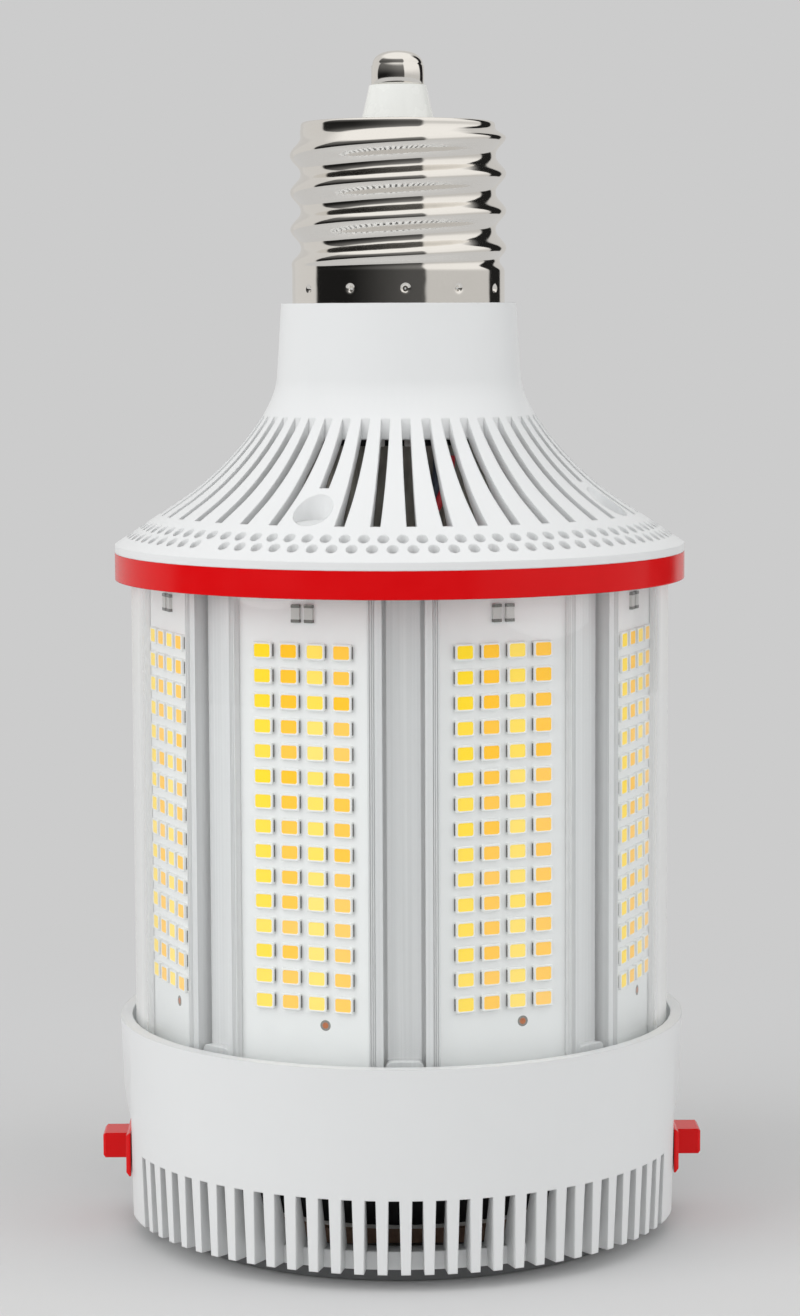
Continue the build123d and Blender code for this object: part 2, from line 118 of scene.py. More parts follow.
class LampSizes(bpy.types.PropertyGroup):
    """Sizes of the details that the solids leave plain."""

    thread_pitch: length_property("Thread pitch", 6.65, "Rise of the screw thread in one turn")
    thread_depth: length_property("Thread depth", 1.9, "Crest of the thread above its root")
    thread_crest: length_property("Thread crest", 192.75, "Height of a crest at the lamp's right side")
    skirt_height: length_property("Skirt height", 6.9, "Plain band under the thread")
    skirt_inset: length_property("Skirt inset", 0.3, "Plain band's radius below the thread's crest")
    rim_inset: length_property("Rim inset", 2.0, "Upper rim's radius below the thread's crest")
    shell_wall: length_property("Shell wall", 0.6, "Thickness of the shell's sheet")
    crimp_depth: length_property("Crimp depth", 0.7, "Depth of the punched marks on the skirt")
    crimp_radius: length_property("Crimp radius", 0.5, "Size of the punched marks on the skirt")
    crimp_height: length_property("Crimp height", 2.5, "Punched marks above the neck")
    crimp_count: count_property("Crimps", 12, "Punched marks round the skirt")
    crimp_turn: FloatProperty(
        name="Crimp turn", description="First mark, right of the front", default=radians(3), subtype="ANGLE"
    )
    neck_turn: length_property("Neck turn", 2.6, "Reach of the soft turn between bell and neck")
    well_radius: length_property("Well radius", 3.39, "Radius of the floors in the screw wells")
    well_seat: length_property("Well seat", 2.9, "Foot of the wells' plugs above the housing's lower edge")
    hole_radius: length_property("Hole radius", 0.98, "Radius of the small holes round the bell")
    hole_depth: length_property("Hole depth", 2.2, "Depth of the small holes round the bell")
    hole_count: count_property("Holes", 88, "Small holes in each row of the bell")
    hole_row_inner: length_property("Inner row", 46.4, "Distance of the inner row of holes from the axis")
    hole_row_outer: length_property("Outer row", 48.8, "Distance of the outer row of holes from the axis")
    hole_left_out: count_property("Hole left out", 77, "Place in the outer row with no hole, from the front")
    tongue_width: length_property("Tongue width", 6.5, "Width of the cap's tongues in the posts")
    tongue_rise: length_property("Tongue rise", 0.3, "Tongues' tips above the cap's rim")
    tongue_round: length_property("Tongue round", 1.2, "Radius of the tongues' shoulders")
    led_rows: count_property("LED rows", 15, "LED packages in a column")
    led_row_pitch: length_property("LED row pitch", 4.36, "Distance between rows of LED packages")
    led_column_pitch: length_property("LED column pitch", 4.85, "Distance between columns of LED packages")
    led_width: length_property("LED width", 3.5, "Width of an LED package")
    led_height: length_property("LED height", 2.9, "Height of an LED package")
    led_frame: length_property("LED frame", 0.26, "White edge round the phosphor window")
    led_lead: length_property("LED lead", 0.08, "Tinned leads beyond the package's sides")
    resistor_spacing: length_property("Resistor spacing", 2.4, "Distance between the two resistors")
    resistor_drop: length_property("Resistor drop", 6.0, "Resistors below the board's upper edge")
    fiducial_rise: length_property("Fiducial rise", 14.2, "Fiducial mark above the board's lower edge")
    fiducial_place: length_property("Fiducial place", 3.7, "Fiducial mark right of the board's middle")
    flute_inner: length_property("Flute inner edge", 3.65, "Fluted strip's inner edge from a post's middle")
    flute_outer: length_property("Flute outer edge", 6.05, "Fluted strip's outer edge from a post's middle")
    flute_depth: length_property("Flute depth", 0.28, "Depth of the fine grooves in a post's face")
    flute_width: length_property("Flute width", 0.26, "Width of the fine grooves in a post's face")
    # Pale ring at the fan's foot: a liner whose pale colour also paints a highlight on the frame's lip
    liner_highlight_height: length_property("Liner height", 0.65, "Pale liner between the foam and the fan")
    liner_highlight_proud: length_property("Liner proud", 0.2, "Liner's edge beyond the fan's frame")
    # Height of the black band that paints the shade along the driver's top, and of the terminals there
    band_height: length_property("Lid height", 1.5, "Dark lid and terminals at the driver's top")
    lead_lift: length_property("Lead lift", 5.75, "Leads' start above the solids' start")
    lead_sway: length_property("Lead sway", 2.2, "Leads' start right of the solids' start")
    red_swing: length_property("Red lead's swing", 8.6, "Pull of the red lead's curve to the left")
    dark_swing: length_property("Dark lead's swing", 5.2, "Pull of the dark lead's curve to the left")


class LampColours(bpy.types.PropertyGroup):
    """Colours of the finishes."""

    white: colour_property("White plastic", "#E6E7E7", "Moulded white housing and cap")
    red: colour_property("Red plastic", "#DC0006", "Trim ring and selector slides")
    nickel: colour_property("Nickel plate", "#F5F2ED", "Screw shell and contact button")
    insulator: colour_property("Insulator", "#EFF0EC", "Insulator cone of the base")
    aluminium: colour_property("Aluminium", "#F0F0F0", "Extruded heat sink")
    mask: colour_property("Solder mask", "#F6F6F5", "White face of the LED boards")
    cool: colour_property("Cool phosphor", "#FFD800", "Windows of the cool white packages")
    warm: colour_property("Warm phosphor", "#FFC000", "Windows of the warm white packages")
    foot: colour_property("Foot plate", "#6E6F70", "Painted foot plate")
    black: colour_property("Black plastic", "#1B1B1D", "Fan and switches")
    foam: colour_property("Foam", "#B79580", "Gasket under the fan")
    driver: colour_property("Driver", "#ABA99F", "Potted driver block")
    backdrop: colour_property("Backdrop", "#CCCCCC", "Pale floor and background")


# Node helpers


def put(tree, kind, settings=None, **links):
    """Add a node with its attributes and socket values, and link sockets given by keyword.

    A settings key that names an input socket sets that socket, any other sets the node's attribute.
    A link's keyword is the socket's name with underscores or i and its number, and its value is an output
    socket, or a node that gives its first one.
    """
    node = tree.nodes.new(kind)
    for key, value in (settings or {}).items():
        if isinstance(key, int) or key in node.inputs:
            node.inputs[key].default_value = value
        else:
            setattr(node, key, value)
    for key, source in links.items():
        name = key.replace("_", " ")
        target = node.inputs[int(name[1:])] if name[0] == "i" and name[1:].isdigit() else node.inputs[name]
        tree.links.new(source.outputs[0] if hasattr(source, "outputs") else source, target)
    return node


def finish(name):
    """New material with no nodes; returns the material and its tree."""
    material = bpy.data.materials.new(name)
    material.use_nodes = True
    material.node_tree.nodes.clear()
    return material, material.node_tree


def surface(material, settings, **links):
    """Close a material with a shader of these settings and links; returns the material."""
    tree = material.node_tree
    shader = put(tree, "ShaderNodeBsdfPrincipled", settings, **links)
    put(tree, "ShaderNodeOutputMaterial", Surface=shader)
    return material


def grains(tree, size_mm, stretch=(1, 1, 1), detail=2.0):
    """Noise on Object coordinates whose grains are about a size in millimetres, stretched along an axis."""
    coords = put(tree, "ShaderNodeTexCoord").outputs["Object"]
    scale = tuple(s / (size_mm * MM) for s in stretch)
    mapped = put(tree, "ShaderNodeMapping", {"Scale": scale}, Vector=coords).outputs["Vector"]
    return put(tree, "ShaderNodeTexNoise", {"Scale": 1.0, "Detail": detail}, Vector=mapped).outputs["Fac"]


def spread(tree, noise, low, high):
    """Map the middle half of a noise to a range."""
    ends = {"From Min": 0.25, "From Max": 0.75, "To Min": low, "To Max": high}
    return put(tree, "ShaderNodeMapRange", ends, Value=noise)


def tint(tree, noise, colour, darker):
    """Mix a colour with a darker one of its own by a noise."""
    shade = tuple(c * darker for c in colour[:3]) + (1.0,)
    ends = {"data_type": "RGBA", 6: shade, 7: tuple(colour)}
    return put(tree, "ShaderNodeMix", ends, Factor=noise).outputs[2]


def relief(tree, noise, strength, depth_mm, edge_mm=0):
    """Normal with the relief of a noise, over sharp edges rounded by a radius where one is given."""
    bump = put(tree, "ShaderNodeBump", {"Strength": strength, "Distance": depth_mm * MM}, Height=noise)
    if edge_mm:
        edge = put(tree, "ShaderNodeBevel", {"Radius": edge_mm * MM, "samples": 6})
        tree.links.new(edge.outputs["Normal"], bump.inputs["Normal"])
    return bump


# Finishes


def moulded_white(colours):
    """Satin white moulding, such as PBT: a fine spark-eroded grain that softens the highlights."""
    name = "satin_white_pbt_moulding"
    if name in bpy.data.materials:
        return bpy.data.materials[name]
    material, tree = finish(name)
    grain, cloud = grains(tree, size_mm=0.35), grains(tree, size_mm=18)
    return surface(
        material,
        {"IOR": 1.5, "Specular IOR Level": 0.42},
        Base_Color=tint(tree, cloud, colours.white, darker=0.97),
        Roughness=spread(tree, grain, 0.34, 0.44),
        Normal=relief(tree, grain, strength=0.06, depth_mm=0.03, edge_mm=0.35),
    )


def moulded_red(colours):
    """Gloss red moulding, such as ABS: polished tool, so it keeps sharp reflections."""
    material, tree = finish("gloss_red_abs_moulding")
    ripple = grains(tree, size_mm=6)
    return surface(
        material,
        {"IOR": 1.53, "Specular IOR Level": 0.2},
        Base_Color=tint(tree, ripple, colours.red, darker=0.93),
        Roughness=spread(tree, ripple, 0.16, 0.24),
        Normal=relief(tree, ripple, strength=0.05, depth_mm=0.05, edge_mm=0.3),
    )


def nickel_plate(colours):
    """Bright nickel on rolled brass: a mirror with the faint waves and pits of the rolled sheet."""
    material, tree = finish("bright_nickel_plate")
    wave, pits = grains(tree, size_mm=3.5, detail=1.0), grains(tree, size_mm=0.3)
    return surface(
        material,
        {"Metallic": 1.0},
        Base_Color=tint(tree, pits, colours.nickel, darker=0.94),
        Roughness=spread(tree, pits, 0.05, 0.1),
        Normal=relief(tree, wave, strength=0.25, depth_mm=0.12),
    )


def smooth_insulator(colours):
    """Smooth white insulator, dense and slightly glossy."""
    material, tree = finish("smooth_white_insulator")
    cloud = grains(tree, size_mm=4)
    return surface(
        material,
        {"IOR": 1.5, "Specular IOR Level": 0.45},
        Base_Color=tint(tree, cloud, colours.insulator, darker=0.96),
        Roughness=spread(tree, cloud, 0.22, 0.32),
    )


def clear_polycarbonate():
    """Clear polycarbonate: a polished tube that lets the lamps through to the boards.

    Where the wall is seen edge on, a pale diffuse is mixed into the glass by the facing: a painted sheen that
    stands for the light the wall gathers.
    """
    material, tree = finish("clear_polished_polycarbonate")
    glass = put(
        tree,
        "ShaderNodeBsdfPrincipled",
        {"Base Color": linear("#FEFFFF"), "Roughness": 0.01, "IOR": 1.49, "Transmission Weight": 1.0},
    )
    # Pale diffuse that paints a sheen along the tube's edges, mixed in by the facing
    pale = put(tree, "ShaderNodeBsdfDiffuse", {"Color": linear("#F4F4F2")})
    facing = put(tree, "ShaderNodeLayerWeight", {"Blend": 0.5}).outputs["Facing"]
    painted_sheen_range = {"From Min": 0.64, "From Max": 0.78, "To Max": 0.45}
    edge = put(tree, "ShaderNodeMapRange", painted_sheen_range, Value=facing)
    wall = put(tree, "ShaderNodeMixShader", Fac=edge, i1=glass, i2=pale)
    open_way = put(tree, "ShaderNodeBsdfTransparent", {"Color": linear("#FEFFFF")})
    path = put(tree, "ShaderNodeLightPath").outputs
    either = {"operation": "MAXIMUM"}
    lit = put(tree, "ShaderNodeMath", either, i0=path["Is Shadow Ray"], i1=path["Is Diffuse Ray"])
    tube = put(tree, "ShaderNodeMixShader", Fac=lit, i1=wall, i2=open_way)
    put(tree, "ShaderNodeOutputMaterial", Surface=tube)
    return material


def extruded_aluminium(colours):
    """Mill-finish aluminium extrusion: fine die lines along its length, drawn as coarse as they show."""
    material, tree = finish("mill_finish_aluminium_extrusion")
    lines = grains(tree, size_mm=0.5, stretch=(1, 1, 0.006))
    cloud = grains(tree, size_mm=9, stretch=(1, 1, 0.15))
    return surface(
        material,
        {"Metallic": 0.25},
        Base_Color=tint(tree, lines, colours.aluminium, darker=0.8),
        Roughness=spread(tree, cloud, 0.36, 0.48),
        Normal=relief(tree, lines, strength=0.4, depth_mm=0.06),
    )


def solder_mask(colours):
    """White solder mask on an aluminium core: a printed film with a soft orange-peel sheen."""
    material, tree = finish("white_solder_mask")
    peel, cloud = grains(tree, size_mm=0.6), grains(tree, size_mm=10)
    return surface(
        material,
        {"IOR": 1.5, "Specular IOR Level": 0.4},
        Base_Color=tint(tree, cloud, colours.mask, darker=0.975),
        Roughness=spread(tree, peel, 0.30, 0.42),
        Normal=relief(tree, peel, strength=0.08, depth_mm=0.03),
    )


def phosphor(name, colour):
    """Phosphor in clear silicone: a soft matte colour under a slightly glossy skin, a little uneven.

    Each package's own tone attribute lightens it. The colour also glows a little by an emission: a painted
    glow, which stands in for the phosphor turning blue light into its own colour.
    """
    material, tree = finish(name)
    grain = grains(tree, size_mm=0.4)
    tone = put(tree, "ShaderNodeAttribute", {"attribute_name": "tone"}).outputs["Fac"]
    white_share = 0.16
    pale = tuple((1 - white_share) * c + white_share for c in colour[:3]) + (1.0,)
    ends = {"data_type": "RGBA", 6: tuple(colour), 7: pale}
    toned = put(tree, "ShaderNodeMix", ends, Factor=tone).outputs[2]
    return surface(
        material,
        # The emission is a painted glow that brightens the windows
        {"IOR": 1.41, "Specular IOR Level": 0.08, "Emission Strength": 0.2},
        Base_Color=toned,
        Emission_Color=toned,
        Roughness=spread(tree, grain, 0.35, 0.5),
    )


def potting(colours):
    """Dark potting compound: a satin skin with the pale streaks and dull patches of a rough casting."""
    material, tree = finish("cast_potting_compound")
    streak = grains(tree, size_mm=1.1, stretch=(1, 1, 0.18), detail=4.0)
    patch = grains(tree, size_mm=3)
    return surface(
        material,
        {"IOR": 1.55},
        Base_Color=tint(tree, spread(tree, streak, 0, 1), colours.driver, darker=0.45),
        Roughness=spread(tree, patch, 0.3, 0.55),
        Normal=relief(tree, streak, strength=0.35, depth_mm=0.4),
    )


def plain(name, colour, roughness, size_mm, metallic=0.0, darker=0.85, depth_mm=0.04):
    """Even finish with a grain of a given size in its colour, roughness and relief."""
    material, tree = finish(name)
    grain = grains(tree, size_mm)
    return surface(
        material,
        {"Metallic": metallic},
        Base_Color=tint(tree, grain, colour, darker),
        Roughness=spread(tree, grain, roughness - 0.05, roughness + 0.07),
        Normal=relief(tree, grain, strength=0.3, depth_mm=depth_mm),
    )


# Mesh helpers


def new_mesh(name, points, corners, counts, slots=None):
    """Mesh from arrays: points, the corners of all faces in a row, the corners of each face and its slot."""
    mesh = bpy.data.meshes.new(name)
    mesh.vertices.add(len(points))
    mesh.vertices.foreach_set("co", np.asarray(points, dtype=np.float32).ravel())
    mesh.loops.add(len(corners))
    mesh.loops.foreach_set("vertex_index", np.asarray(corners, dtype=np.int32))
    mesh.polygons.add(len(counts))
    mesh.polygons.foreach_set("loop_start", (np.cumsum(counts) - counts).astype(np.int32))
    if slots is not None:
        mesh.polygons.foreach_set("material_index", np.asarray(slots, dtype=np.int32))
    mesh.update(calc_edges=True)
    mesh.validate()
    return mesh


def mark(mesh, name, values):
    """Give each point of a mesh a value that its finish reads."""
    values = np.asarray(values, dtype=np.float32).ravel()
    mesh.attributes.new(name, "FLOAT", "POINT").data.foreach_set("value", values)


def merge(mesh, distance=1e-7):
    """Merge points that coincide, such as those of a pole."""
    work = bmesh.new()
    work.from_mesh(mesh)
    bmesh.ops.remove_doubles(work, verts=work.verts, dist=distance)
    bmesh.ops.dissolve_degenerate(work, edges=work.edges, dist=distance)
    work.to_mesh(mesh)
    work.free()
    return mesh


def skin(name, points, ring=False):
    """Mesh of a grid of points: the last row joins the first, and on a ring so do the columns."""
    rows, cols = points.shape[:2]
    index = np.arange(rows * cols).reshape(rows, cols)
    index = np.vstack([index, index[:1]])
    if ring:
        index = np.hstack([index, index[:, :1]])
    quads = np.stack([index[:-1, :-1], index[1:, :-1], index[1:, 1:], index[:-1, 1:]], axis=-1)
    return new_mesh(name, points.reshape(-1, 3), quads.ravel(), np.full(quads.size // 4, 4))


def turns(count):
    """Angles at equal steps round a circle."""
    return np.linspace(0, 2 * pi, count, endpoint=False)


def polar(radius, angle, height):
    """Points from a radius and an angle about the third axis, and a place along it."""
    return np.stack(np.broadcast_arrays(radius * np.cos(angle), radius * np.sin(angle), height), axis=-1)


def turned(name, profile, ring=False):
    """Body turned about the lamp's axis: a profile of radius and height, carried round in equal steps.

    The profile runs from the axis below, up the outside, to the axis above, or round a ring's section.
    """
    steps = 96
    radius, height = np.asarray(profile).T[:, None]
    return merge(skin(name, polar(radius, turns(steps)[:, None], height), ring))


def stacked(outlines, slot=0, lid_slot=None, base=False):
    """Shape of outlines with equal point counts, joined by quads, the last one closed by a lid.

    A shape is its points, the corners of its faces in a row, the corners of each face and its slot. The
    outlines run anticlockwise, seen from the side towards which they are stacked.
    """
    count, levels = len(outlines[0]), len(outlines)
    around = np.arange(count)
    after = np.roll(around, -1)
    quad = np.stack([around, after, after + count, around + count], axis=-1)
    quads = quad[None] + count * np.arange(levels - 1)[:, None, None]
    sides = count * (levels - 1)
    corners = [quads.ravel(), sides + around] + ([around[::-1]] if base else [])
    counts = [np.full(sides, 4), [count]] + ([[count]] if base else [])
    slots = [np.full(sides, slot), [slot if lid_slot is None else lid_slot]] + ([[slot]] if base else [])
    return np.concatenate(outlines), *(np.concatenate(part) for part in (corners, counts, slots))


def joined(*shapes):
    """Several shapes as one."""
    starts = np.cumsum([0] + [len(shape[0]) for shape in shapes])
    shifted = [(points, corners + start, *rest) for (points, corners, *rest), start in zip(shapes, starts)]
    return tuple(np.concatenate(part) for part in zip(*shifted))


def moved(shape, right=0.0, up=0.0):
    """A shape moved in its own frame."""
    return shape[0] + np.array([right, up, 0]), *shape[1:]


def places_round(count, reach, height, start):
    """Matrices that carry right, up and out to the lamp, at equal steps round its axis from an angle."""
    turn = start + np.arange(count) * 2 * pi / count
    c, s, zero = np.cos(turn), np.sin(turn), 0 * turn
    rows = [[-s, zero, c, reach * c], [c, zero, s, reach * s], [zero, zero + 1, zero, zero + height]]
    return np.array(rows).transpose(2, 0, 1)


def repeated(name, shape, places, spots=((0.0, 0.0),)):
    """Mesh of a shape repeated at spots, right and up in metres, on every place."""
    points, corners, counts, slots = shape
    local = points[None] + np.pad(np.asarray(spots), ((0, 0), (0, 1)))[:, None]
    world = np.einsum("bij,snj->bsni", places[..., :3], local) + places[:, None, None, :, 3]
    total = len(places) * len(spots)
    corners = corners[None] + len(points) * np.arange(total)[:, None]
    counts, slots = np.tile(counts, total), np.tile(slots, total)
    return new_mesh(name, world.reshape(-1, 3), corners.ravel(), counts, slots)


def plate(width, height, corner, out):
    """Outline of a rectangle with cut corners, in right and up, at a distance out."""
    x, y = width / 2, height / 2
    right = np.array([x, x, x - corner, corner - x, -x, -x, corner - x, x - corner])
    up = np.array([corner - y, y - corner, y, y, y - corner, corner - y, -y, -y])
    return np.stack([right, up, out + 0 * up], axis=-1)


def chip(width, height, corner, thickness, slot=0):
    """Flat block with cut corners that stands on a board."""
    return stacked([plate(width, height, corner, out) for out in (0, thickness)], slot)


def disc(radius, out):
    """Outline of a circle in right and up, at a distance out."""
    corners = 24
    return polar(radius, turns(corners), out)


def level_disc(radius, up, corners, fall=0.0):
    """Outline of a circle in out and right, at a height that falls towards the outside by a share of out."""
    turn = turns(corners)
    out = radius * np.cos(turn)
    return np.stack([radius * np.sin(turn), up - fall * out, out], axis=-1)


def board_places():
    """Places of the LED boards' faces, each at the middle of its lower edge, and the boards' length."""
    low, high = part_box("led_board_1")
    start = FRONT + pi / SIDES
    points = np.array([vertex.co for vertex in NODES["led_board_1"].data.vertices])
    front = (points[:, :2] @ np.array([cos(start), sin(start)])).max()
    return places_round(SIDES, front, low.z, start), high.z - low.z


# Object helpers


def placed(name, data):
    """New object of a mesh, light or camera in the scene."""
    made = bpy.data.objects.new(name, data)
    bpy.context.scene.collection.objects.link(made)
    return made


def shade(mesh, smooth_angle):
    """Smooth shading across edges under an angle in degrees."""
    mesh.shade_smooth()
    mesh.set_sharp_from_angle(angle=radians(smooth_angle))


def piece(mesh, materials, replaced=(), smooth_angle=30):
    """Object of a finished mesh that rides on the lamp, takes its slot and stands for CAD nodes."""
    shade(mesh, smooth_angle)
    for material in materials:
        mesh.materials.append(material)
    made = placed(mesh.name, mesh)
    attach(made, LAMP)
    if replaced:
        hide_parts(*replaced)
    return made


def smooth_group():
    """Geometry nodes that drop a CAD node's stored normals, join its triangles and smooth low angles."""
    name = "smooth_cad_node"
    if name in bpy.data.node_groups:
        return bpy.data.node_groups[name]
    tree = bpy.data.node_groups.new(name, "GeometryNodeTree")
    for way in ("INPUT", "OUTPUT"):
        tree.interface.new_socket("Geometry", in_out=way, socket_type="NodeSocketGeometry")
    step = put(tree, "NodeGroupInput")
    for kind, settings in (
        ("GeometryNodeRemoveAttribute", {"Name": "custom_normal"}),
        ("GeometryNodeMergeByDistance", {"Distance": CAD_MERGE}),
        ("GeometryNodeSetShadeSmooth", {"domain": "FACE", "Shade Smooth": True}),
        ("GeometryNodeSetShadeSmooth", {"domain": "EDGE"}),
    ):
        step = put(tree, kind, settings, Geometry=step)
    angle = put(tree, "GeometryNodeInputMeshEdgeAngle").outputs["Unsigned Angle"]
    test = {"data_type": "FLOAT", "operation": "LESS_THAN", 1: radians(CAD_SMOOTH)}
    low = put(tree, "FunctionNodeCompare", test, i0=angle)
    tree.links.new(low.outputs[0], step.inputs["Shade Smooth"])
    put(tree, "NodeGroupOutput", Geometry=step)
    return tree


def dress(material, *nodes):
    """Give CAD nodes a finish and smooth normals."""
    for name in nodes:
        node = NODES[name]
        node.data.materials.clear()
        node.data.materials.append(material)
        node.modifiers.new("smooth", "NODES").node_group = smooth_group()


# Screw base


def threaded_shell(sizes):
    """Screw shell: a radius as a function of angle and height.

    The thread is a cosine of height over pitch less turns, which rises anticlockwise, and fades into the
    plain skirt below and the rim above. Each crimp takes a bell-shaped dent out of the skirt. The wall then
    turns in over the top and comes back down inside.
    """
    foot, top, crest = floor_of("screw_shell"), top_of("screw_shell"), reach_of("screw_shell")
    sector_columns, skirt_rows, thread_rows = 24, 32, 110
    lip, roll, collar, fit = 0.15 * MM, 0.5 * MM, 3 * MM, 0.1 * MM
    sharpness = 1.15
    # Columns of points crowd at each crimp, by a cubic that is less steep there
    slope = 0.25
    share = np.linspace(-0.5, 0.5, sector_columns, endpoint=False)
    near = (slope * share + 4 * (1 - slope) * share**3) * 2 * pi / sizes.crimp_count
    marks = FRONT + sizes.crimp_turn + 2 * pi / sizes.crimp_count * np.arange(sizes.crimp_count)
    angle = (marks[:, None] + near[None]).ravel()[:, None]
    away = np.tile(near, sizes.crimp_count)[:, None]
    band = foot + sizes.crimp_height + 3 * sizes.crimp_radius
    z = np.concatenate([
        np.linspace(foot, band, skirt_rows, endpoint=False),
        np.linspace(band, top - roll, thread_rows),
    ])[None]
    phase = (z - sizes.thread_crest) / sizes.thread_pitch - angle / (2 * pi)
    wave = (0.5 + 0.5 * np.cos(2 * pi * phase)) ** sharpness
    thread = crest - sizes.thread_depth * (1 - wave)
    skirt, rim = crest - sizes.skirt_inset, crest - sizes.rim_inset
    skirt_top = foot + sizes.skirt_height
    thread_start, skirt_end = skirt_top + 1.6 * MM, skirt_top - 1.2 * MM
    thread_end, rim_start = top - 2.9 * MM, top - 0.9 * MM
    low, high = ease(z, thread_start, skirt_end), ease(z, thread_end, rim_start)
    radius = thread * (1 - low) + skirt * low
    radius = radius * (1 - high) + rim * high
    dent = (z - foot - sizes.crimp_height) ** 2 + (skirt * away) ** 2
    radius = radius - sizes.crimp_depth * np.exp(-dent / sizes.crimp_radius**2)
    hole, inner, roof = reach_of("base_insulator") + fit, rim - sizes.shell_wall, top - sizes.shell_wall
    over_r = np.array([rim - lip, rim - roll, hole + collar, hole, hole, inner, inner])
    over_z = np.array([top - lip, top, top, top, roof, roof, foot])
    radius = np.hstack([radius, np.repeat(over_r[None], len(angle), axis=0)])
    points = polar(radius, angle, np.hstack([z, over_z[None]]))
    return skin("threaded_shell", points, ring=True)


def insulator_cone():
    """Cone with slightly hollow flanks: the radius falls by a power of the height."""
    foot, seat, top = floor_of("base_insulator"), top_of("screw_shell"), top_of("base_insulator")
    ledge, hollow, flank_points = 0.4 * MM, 0.9, 12
    wide, tip = reach_of("base_insulator"), reach_of("centre_contact") + ledge
    share = np.linspace(0, 1, flank_points)
    flank = np.stack([wide - (wide - tip) * share**hollow, seat + (top - seat) * share], axis=1)
    return turned("insulator_cone", np.vstack([[(0, foot), (wide, foot)], flank, [(0, top)]]))


def contact_button():
    """Pressed button: straight side, a small step at the shoulder and a squarish dome."""
    foot, top, side = floor_of("centre_contact"), top_of("centre_contact"), reach_of("centre_contact")
    step, side_share = 0.2 * MM, 0.56
    round_power, rise_power, dome_points = 0.8, 0.95, 14
    shoulder = foot + side_share * (top - foot)
    share = np.linspace(0, pi / 2, dome_points)
    radius = (side - step) * np.cos(share) ** round_power
    radius[-1] = 0
    height = shoulder + step + (top - shoulder - step) * np.sin(share) ** rise_power
    start = [(0, foot), (side - step / 2, foot), (side, foot + step / 2), (side, shoulder)]
    return turned("contact_button", np.vstack([start, np.stack([radius, height], axis=1)]))


class LAMP_OT_screw_base(bpy.types.Operator):
    """Rolled screw shell, insulator cone and contact button"""

    bl_idname = "lamp.screw_base"
    bl_label = "Screw base"

    def execute(self, context):
        sizes, colours = context.scene.lamp_sizes, context.scene.lamp_colours
        nickel, insulator = nickel_plate(colours), smooth_insulator(colours)
        piece(threaded_shell(sizes), [nickel], ["screw_shell"], smooth_angle=60)
        piece(insulator_cone(), [insulator], ["base_insulator"], smooth_angle=40)
        piece(contact_button(), [nickel], ["centre_contact"], smooth_angle=50)
        return {"FINISHED"}


# Upper housing


def flank_height(reach):
    """Height of the bell's straight flank at a distance from the axis."""
    foot = floor_of("screw_shell") - NECK_HEIGHT - BELL_HEIGHT
    return foot + (reach_of("upper_housing") - reach) * FLANK_RISE / FLANK_RUN


def bend_bell(mesh, neck_turn):
    """Move the bell's flat steps onto the curve that they stand for.

    The curve is an arc tangent to the straight flank that ends at the neck, with a soft turn into the neck.
    The mesh is cut at heights along it, and each point moves outwards by the curve's radius less that of the
    steps at its height.
    """
    step_cuts, turn_points, cut_merge = 6, 7, 0.001 * MM
    top = floor_of("screw_shell") - NECK_HEIGHT
    flank_top = top - BELL_HEIGHT + FLANK_RISE
    start = np.array([reach_of("upper_housing") - FLANK_RUN, flank_top])
    end = np.array([NECK_RADIUS, top])
    first = np.arctan2(FLANK_RISE, -FLANK_RUN)
    chord = np.arctan2(*(end - start)[::-1])
    whole = 2 * (chord - first)
    size = np.linalg.norm(end - start) / (2 * np.sin(whole / 2))

    def arc(share):
        run, slope = 2 * size * np.sin(whole * share / 2), first + whole * share / 2
        return start + np.stack([run * np.cos(slope), run * np.sin(slope)], axis=-1)

    share = np.linspace(0, 1, step_cuts * BELL_STEPS + 1)
    curve = arc(share)
    lower = curve[curve[:, 1] < top - neck_turn]
    neck = end + np.array([-NECK_DRAFT / NECK_HEIGHT, 1]) * neck_turn
    t = np.linspace(0, 1, turn_points)[:, None]
    turn = lower[-1] * (1 - t) ** 2 + 2 * end * t * (1 - t) + neck * t**2
    smooth = np.vstack([lower, turn[1:]])
    steps = np.vstack([arc(share[::step_cuts]), [neck]])
    work = bmesh.new()
    work.from_mesh(mesh)
    for height in smooth[:, 1]:
        around = [*work.verts, *work.edges, *work.faces]
        bmesh.ops.bisect_plane(work, geom=around, dist=cut_merge, plane_co=(0, 0, height), plane_no=(0, 0, 1))
    work.to_mesh(mesh)
    work.free()
    points = np.empty(3 * len(mesh.vertices), dtype=np.float32)
    mesh.vertices.foreach_get("co", points)
    points = points.reshape(-1, 3).astype(float)
    radius, z = np.hypot(points[:, 0], points[:, 1]), points[:, 2]
    shift = np.interp(z, *smooth.T[::-1]) - np.interp(z, *steps.T[::-1])
    shift *= (z > smooth[0, 1]) & (z < smooth[-1, 1])
    points[:, :2] *= ((radius + shift) / radius)[:, None]
    mesh.vertices.foreach_set("co", points.astype(np.float32).ravel())
    mesh.update()


def hole_tool(sizes):
    """Upright cylinders in two rows round the axis, the outer row half a step on, with one left out.

    Their lower ends lie a hole's depth under the bell's straight flank.
    """
    above, corners, count = 3 * MM, 14, sizes.hole_count
    rows = [
        places_round(count, reach, flank_height(reach), FRONT + shift)
        for reach, shift in ((sizes.hole_row_inner, 0), (sizes.hole_row_outer, pi / count))
    ]
    places = np.delete(np.concatenate(rows), count + sizes.hole_left_out, axis=0)
    ends = [level_disc(sizes.hole_radius, up, corners) for up in (-sizes.hole_depth, above)]
    return repeated("hole_tool", stacked(ends, base=True), places)


